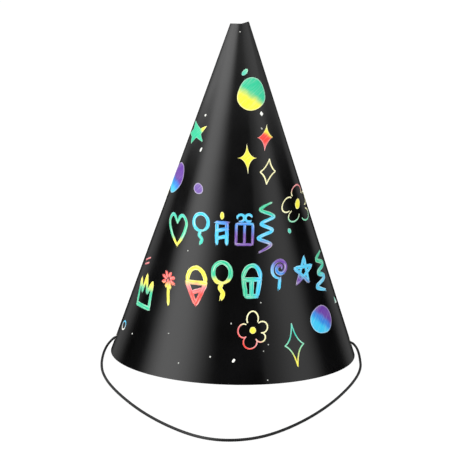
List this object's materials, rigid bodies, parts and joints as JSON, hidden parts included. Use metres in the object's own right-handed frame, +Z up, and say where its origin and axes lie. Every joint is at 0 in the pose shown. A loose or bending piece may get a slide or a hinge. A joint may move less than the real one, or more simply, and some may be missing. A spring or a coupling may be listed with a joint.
{
  "type": "cone party hat",
  "caption": "Cone party hat of rolled and taped black gloss card with iridescent foil motifs and a knotted round elastic chin cord.",
  "frame": {"origin": "on the table at the middle of the rim, which stands on it", "axes": "+Z up towards the open tip; front, with the elastic lying before it, towards -Y; +X to the viewer's right, along the cord holes"},
  "size_m": [0.1252, 0.1977, 0.161],
  "materials": {
    "gloss_card": "black gloss film on white board",
    "tape": "clear double-sided tape",
    "elastic": "braided round elastic",
    "foil_teal": "iridescent hot-stamped foil",
    "foil_yellow": "iridescent hot-stamped foil",
    "foil_red": "iridescent hot-stamped foil",
    "foil_cyan": "iridescent hot-stamped foil",
    "foil_purple": "iridescent hot-stamped foil",
    "foil_pale": "iridescent hot-stamped foil"
  },
  "bodies": {
    "hat": {"cone_card": "gloss_card", "seam_tape": "tape", "doodle_balloon": "foil_cyan", "doodle_candle": "foil_cyan", "doodle_crown": "foil_yellow", "doodle_cupcake": "foil_teal", "doodle_gift": "foil_cyan", "doodle_heart": "foil_teal", "doodle_ice_cream": "foil_yellow", "doodle_lollipop": "foil_purple", "doodle_long_streamer": "foil_cyan", "doodle_sparkler": "foil_red", "doodle_star": "foil_cyan", "doodle_streamer": "foil_teal", "doodle_tall_balloon": "foil_teal", "foil_bean": "foil_teal", "foil_big_disc": "foil_teal", "foil_diamond_line": "foil_pale", "foil_edge_ring": "foil_pale", "foil_edge_strokes": "foil_red", "foil_edge_triangle": "foil_pale", "foil_front_flower": "foil_pale", "foil_left_disc": "foil_cyan", "foil_purple_dot": "foil_purple", "foil_red_sparkle": "foil_red", "foil_right_disc": "foil_cyan", "foil_side_flower": "foil_pale", "foil_sparkle_line": "foil_teal", "foil_specks": "foil_pale", "foil_star": "foil_teal", "foil_teal_dot": "foil_teal", "foil_yellow_sparkle": "foil_yellow"},
    "elastic": {"chin_cord": "elastic", "knot_left": "elastic", "knot_right": "elastic"}
  },
  "joints": [
    {"name": "cord_swing", "type": "hinge", "parent": "hat", "child": "elastic", "pos_m": [0, -0.0055, 0.0072], "axis": [1, 0, 0], "range_deg": [-78, 172]}
  ]
}
